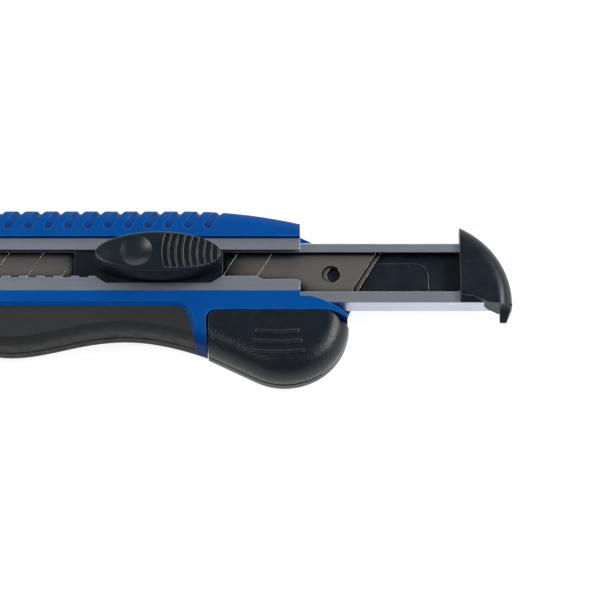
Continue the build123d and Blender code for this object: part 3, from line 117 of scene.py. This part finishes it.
class Look(Graph):
    """A material under construction. Lengths are in millimetres."""

    def __init__(self, name, specular=0.5, metallic=0.0):
        self.material = bpy.data.materials.new(name)
        self.material.use_nodes = True
        super().__init__(self.material.node_tree)
        self.shader = self.tree.nodes["Principled BSDF"]
        self.shader.inputs["Specular IOR Level"].default_value = specular
        self.shader.inputs["Metallic"].default_value = metallic

    def place(self, stretch=(1, 1, 1)):
        """Position on the piece, stretched by factors along the axes."""
        where = self.add("ShaderNodeTexCoord").outputs["Object"]
        scale = tuple(1 / (MM * factor) for factor in stretch)
        return self.add("ShaderNodeMapping", {"Vector": where, "Scale": scale}).outputs["Vector"]

    def noise(self, size, detail=2.0, roughness=0.5, stretch=(1, 1, 1)):
        """Noise with grains of a size, from 0 to 1."""
        values = {
            "Vector": self.place(stretch), "Scale": 1 / size, "Detail": detail, "Roughness": roughness,
        }
        return self.add("ShaderNodeTexNoise", values).outputs["Fac"]

    def specks(self, spacing, size):
        """Sparse round specks: 1 inside a speck, 0 elsewhere."""
        values = {"Vector": self.place(), "Scale": 1 / spacing}
        distance = self.add("ShaderNodeTexVoronoi", values).outputs["Distance"]
        rim = size / spacing
        return self.remap(distance, SPECK_CORE * rim, rim, 1, 0)

    def mix(self, share, first, second):
        """Colour between two colours or colour outputs."""
        node = self.add("ShaderNodeMix", {"Factor": share}, data_type="RGBA")
        for place, colour in ((MIX_FIRST, first), (MIX_SECOND, second)):
            plain = not isinstance(colour, bpy.types.NodeSocket)
            self.put(node.inputs[place], (*colour, 1) if plain else colour)
        return node.outputs[MIX_RESULT]

    def soften(self, radius):
        """Normal of the surface with its sharp edges rounded by a radius."""
        values = {"Radius": radius * MM}
        return self.add("ShaderNodeBevel", values, samples=EDGE_SAMPLES).outputs["Normal"]

    def edges(self, radius):
        """1 along the piece's sharp edges, 0 on its faces."""
        flat = self.add("ShaderNodeNewGeometry").outputs["Normal"]
        return self.remap(self.dot(self.soften(radius), flat), EDGE_STARTS, EDGE_FULL, 0, 1)

    def hollows(self, reach, closed, own=True):
        """1 where at most a closed share of the sky is seen, as in grooves, and 0 on open faces.

        What hides the sky is the piece itself, or all the pieces.
        """
        values = {"Distance": reach * MM}
        sky = self.add("ShaderNodeAmbientOcclusion", values, samples=SKY_SAMPLES, only_local=own)
        return self.remap(sky.outputs["AO"], closed, SKY_CLEAR, 1, 0)

    def bump(self, height, depth, under):
        """Bump by a height output and a depth, on top of another normal."""
        values = {"Height": height, "Strength": 1.0, "Distance": depth * MM, "Normal": under}
        return self.add("ShaderNodeBump", values).outputs["Normal"]

    def finish(self, **inputs):
        """Links or sets the shader's inputs, by names such as base_color."""
        for name, value in inputs.items():
            self.put(self.shader.inputs[name.replace("_", " ").title()], value)
        return self.material


def blue_plastic():
    """Satin moulded plastic with a fine eroded grain, painted shade in its grooves, and paler edges: a
    painted highlight with some wear.
    """
    deep_blue, blue = (0.0004, 0.053, 0.243), (0.0006, 0.063, 0.275)
    painted_groove_shade = (0.008, 0.007, 0.075)
    edge_wear_and_highlight_blue = (0.06, 0.28, 0.62)
    look = Look("blue_plastic", specular=0.06)
    base = look.mix(look.noise(14, detail=3), deep_blue, blue)
    # Painted shade: grooves and other hollows darkened towards violet where the piece hides the sky.
    shaded = look.mix(look.hollows(2.2, 0.6), base, painted_groove_shade)
    # Painted highlight, with some wear: pale blue along the sharp edges, in patches.
    edge_wear_and_highlight = look.math("MULTIPLY", look.edges(0.4), look.remap(look.noise(3), 0.35, 0.65, 0.3, 0.8))
    colour = look.mix(edge_wear_and_highlight, shaded, edge_wear_and_highlight_blue)
    roughness = look.remap(look.noise(6, detail=4), 0.3, 0.7, 0.4, 0.5)
    normal = look.bump(look.noise(0.22, detail=3), 0.01, look.soften(0.35))
    return look.finish(base_color=colour, roughness=roughness, normal=normal)


def rubber():
    """Soft grip: dull and dark, with a stippled skin and specks of dust."""
    black, dark_grey = (0.011, 0.012, 0.014), (0.017, 0.018, 0.019)
    dust_grey = (0.2, 0.2, 0.2)
    look = Look("rubber", specular=0.32)
    base = look.mix(look.noise(9, detail=4), black, dark_grey)
    dust = look.math("MULTIPLY", look.specks(5.5, 0.16), 0.4)
    colour = look.mix(dust, base, dust_grey)
    roughness = look.remap(look.noise(2.5, detail=3), 0.3, 0.7, 0.52, 0.68)
    normal = look.bump(look.noise(0.35), 0.03, look.soften(0.3))
    return look.finish(base_color=colour, roughness=roughness, normal=normal)


def sheet_steel():
    """Cold-rolled sheet: lines along the fold, faint stains and scuffs, and edges lightened as bare
    cut metal and as a painted highlight.
    """
    stained, clean = (0.48, 0.52, 0.61), (0.58, 0.62, 0.72)
    line_grey = (0.40, 0.43, 0.50)
    cut_edge_and_glint = (0.78, 0.8, 0.84)
    look = Look("sheet_steel", metallic=1.0)
    lines = look.noise(0.25, detail=3, stretch=(60, 1, 1))
    base = look.mix(look.noise(9, detail=4), stained, clean)
    streaked = look.mix(look.remap(lines, 0.45, 0.75, 0, 0.5), base, line_grey)
    # Edges lightened as bare cut metal and as a painted highlight.
    colour = look.mix(look.edges(0.1), streaked, cut_edge_and_glint)
    roughness = look.remap(lines, 0.3, 0.7, 0.31, 0.37)
    scuff = look.remap(look.noise(0.7, detail=3, stretch=(0.35, 4, 4)), 0.62, 0.7, 0, 1)
    lined = look.bump(lines, 0.003, look.soften(0.1))
    return look.finish(base_color=colour, roughness=roughness, normal=look.bump(scuff, 0.004, lined))


def ground_blade():
    """Hardened blade: warm grey, ground lines along it, painted shade where other pieces hide the sky,
    as under the rail's lips, and edges lightened as bare cut metal and as a painted highlight.
    """
    stained, clean = (0.19, 0.175, 0.163), (0.26, 0.242, 0.228)
    line_grey = (0.14, 0.127, 0.117)
    painted_shade_black = (0.006, 0.012, 0.016)
    cut_edge_and_glint = (0.62, 0.6, 0.56)
    look = Look("ground_blade", metallic=1.0)
    lines = look.noise(0.18, detail=4, stretch=(40, 1, 1))
    base = look.mix(look.noise(7, detail=5, stretch=(3, 1, 1)), stained, clean)
    streaked = look.mix(look.remap(lines, 0.4, 0.8, 0, 0.45), base, line_grey)
    # Painted shade: near black where other pieces hide the sky, as under the rail's lips and between
    # stacked blades.
    painted_shade_blade = look.mix(look.hollows(7, 0.66, own=False), streaked, painted_shade_black)
    # Edges and score lines lightened as bare cut metal and as a painted highlight.
    colour = look.mix(look.edges(0.07), painted_shade_blade, cut_edge_and_glint)
    roughness = look.remap(lines, 0.3, 0.7, 0.42, 0.48)
    normal = look.bump(lines, 0.002, look.soften(0.05))
    return look.finish(base_color=colour, roughness=roughness, normal=normal)


def black_plastic():
    """Satin black plastic with a soft grain, a little dust, and edges lightened by wear and by a
    painted highlight.
    """
    black, soft_black = (0.0022, 0.0062, 0.0105), (0.0038, 0.0088, 0.0145)
    edge_wear_and_highlight_grey = (0.26, 0.265, 0.275)
    dust_grey = (0.3, 0.3, 0.3)
    look = Look("black_plastic", specular=0.34)
    base = look.mix(look.noise(8, detail=3), black, soft_black)
    # Painted highlight, with some wear: grey along the sharp edges, such as the button's ribs and rim.
    edge_wear_and_highlight = look.math("MULTIPLY", look.edges(0.2), look.remap(look.noise(2), 0.3, 0.7, 0.35, 0.9))
    edges_worn_and_lit = look.mix(edge_wear_and_highlight, base, edge_wear_and_highlight_grey)
    dust = look.math("MULTIPLY", look.specks(4.2, 0.13), 0.6)
    colour = look.mix(dust, edges_worn_and_lit, dust_grey)
    roughness = look.remap(look.noise(4, detail=4), 0.3, 0.7, 0.3, 0.44)
    normal = look.bump(look.noise(0.25), 0.01, look.soften(0.22))
    return look.finish(base_color=colour, roughness=roughness, normal=normal)


def grained_plastic():
    """The bin's black plastic: a coarse sparked grain that breaks up its highlights."""
    black, soft_black = (0.0014, 0.0044, 0.0085), (0.0028, 0.0068, 0.0122)
    edge_wear_and_highlight_grey = (0.2, 0.205, 0.21)
    look = Look("grained_plastic", specular=0.4)
    base = look.mix(look.noise(10, detail=3), black, soft_black)
    # Painted highlight, with some wear: grey along the sharp edges, such as the ribs' ends.
    edge_wear_and_highlight = look.math("MULTIPLY", look.edges(0.25), look.remap(look.noise(2), 0.3, 0.7, 0.15, 0.6))
    colour = look.mix(edge_wear_and_highlight, base, edge_wear_and_highlight_grey)
    roughness = look.remap(look.noise(3, detail=3), 0.3, 0.7, 0.28, 0.36)
    normal = look.bump(look.noise(0.55, roughness=0.6), 0.13, look.soften(0.3))
    return look.finish(base_color=colour, roughness=roughness, normal=normal)


def bright_steel(name, colour, roughness):
    """Small springs and fasteners: drawn or plated steel with fine marks."""
    darker = tuple(0.75 * part for part in colour)
    look = Look(name, metallic=1.0)
    marks = look.noise(0.3, detail=4)
    tone = look.mix(look.noise(1.5, detail=3), darker, colour)
    varied = look.remap(marks, 0.3, 0.7, roughness - 0.06, roughness + 0.08)
    normal = look.bump(marks, 0.004, look.soften(0.08))
    return look.finish(base_color=tone, roughness=varied, normal=normal)


LOOKS = {
    "blue_shell": blue_plastic(),
    "soft_grip": rubber(),
    "rail_steel": sheet_steel(),
    "blade_steel": ground_blade(),
    "black_plastic": black_plastic(),
    "bin_plastic": grained_plastic(),
    "spring_steel": bright_steel("spring_steel", (0.45, 0.46, 0.48), 0.28),
    "fastener_steel": bright_steel("fastener_steel", (0.58, 0.58, 0.56), 0.32),
}

for subpart in frame["record"]["subparts"]:
    piece = nodes[subpart["node"]]
    piece.data.materials.clear()
    piece.data.materials.append(LOOKS[subpart["material_slot"]])

# Studio: white floor and horizon under a grey dome, with three soft lamps
FLOOR_SIDE = 6.0
FLOOR_DROP = 0.02 * MM
FLOOR_WHITE = 0.25
FLOOR_GLOW = 0.9
HORIZON_TOP = 0.25
DOME_AXIS = (-0.2, -0.6, 0.77)
DOME_DARK_END = -0.2
DOME_BRIGHT = 0.26
DOME_DARK = 0.08
DOME_COLOUR = (0.97, 0.985, 1.0, 1)
LAMP_DISTANCE = 1.0
LAMPS = {
    # name: direction, width and height in metres, watts
    "left": ((-0.70, 0.05, 0.66), 0.4, 0.4, 5.6),
    "right": ((0.77, 0.18, 0.61), 0.8, 0.26, 10.0),
    "back": ((-0.10, 0.91, 0.40), 0.9, 0.25, 2.6),
}


def add_object(name, data):
    """A new object in the scene."""
    thing = bpy.data.objects.new(name, data)
    bpy.context.scene.collection.objects.link(thing)
    return thing


def look_from(thing, away, distance):
    """Stands a lamp or the camera off in a direction, turned to the camera's aim."""
    thing.location = CAMERA_AIM + away * distance
    thing.rotation_euler = (-away).to_track_quat("-Z", "Y").to_euler()


def floor_material():
    """Dull floor that the camera and mirrors see as white, with the object's shadow on it."""
    look = Look("floor_white", specular=0.0)
    glow = look.math("MULTIPLY", look.math("MAXIMUM", *look.rays()), FLOOR_GLOW)
    return look.finish(
        base_color=(FLOOR_WHITE, FLOOR_WHITE, FLOOR_WHITE, 1),
        roughness=0.9,
        emission_color=(1, 1, 1, 1),
        emission_strength=glow,
    )


def add_floor():
    half = FLOOR_SIDE / 2
    mesh = bpy.data.meshes.new("floor")
    corners = [(-half, -half, 0), (half, -half, 0), (half, half, 0), (-half, half, 0)]
    mesh.from_pydata(corners, [], [(0, 1, 2, 3)])
    mesh.materials.append(floor_material())
    floor = add_object("floor", mesh)
    floor.location.z = cad_low.z - FLOOR_DROP


def add_lamp(name, direction, width, height, watts):
    data = bpy.data.lights.new(name, "AREA")
    data.shape = "RECTANGLE"
    data.size = width
    data.size_y = height
    data.energy = watts
    look_from(add_object(name, data), Vector(direction).normalized(), LAMP_DISTANCE)


def add_world():
    """A soft dome, brighter on one side; mirrors see a white horizon and the camera sees white."""
    world = bpy.data.worlds.new("studio")
    world.use_nodes = True
    graph = Graph(world.node_tree)
    where = graph.add("ShaderNodeTexCoord").outputs["Generated"]
    dome = graph.remap(graph.dot(where, DOME_AXIS), DOME_DARK_END, 1, DOME_DARK, DOME_BRIGHT)
    height = graph.add("ShaderNodeSeparateXYZ", {"Vector": where}).outputs["Z"]
    horizon = graph.remap(height, HORIZON_TOP / 2, HORIZON_TOP, 1, 0)
    mirrored, camera_ray = graph.rays()
    white = graph.math("MAXIMUM", graph.math("MULTIPLY", horizon, mirrored), camera_ray)
    background = graph.tree.nodes["Background"]
    graph.put(background.inputs["Color"], DOME_COLOUR)
    graph.put(background.inputs["Strength"], graph.math("MAXIMUM", dome, white))
    bpy.context.scene.world = world


def add_camera():
    data = bpy.data.cameras.new("camera")
    data.sensor_width = SENSOR_MM
    data.lens = SENSOR_MM * FOCAL_PIXELS / PHOTO_SIDE
    data.clip_start = CLIP_NEAR
    data.clip_end = CLIP_FAR
    camera = add_object("camera", data)
    back = Vector((0, -math.cos(CAMERA_ELEVATION), math.sin(CAMERA_ELEVATION)))
    look_from(camera, back, CAMERA_DISTANCE)
    bpy.context.scene.camera = camera


add_floor()
for name, lamp in LAMPS.items():
    add_lamp(name, *lamp)
add_world()
add_camera()
bpy.context.scene.view_settings.view_transform = "Standard"
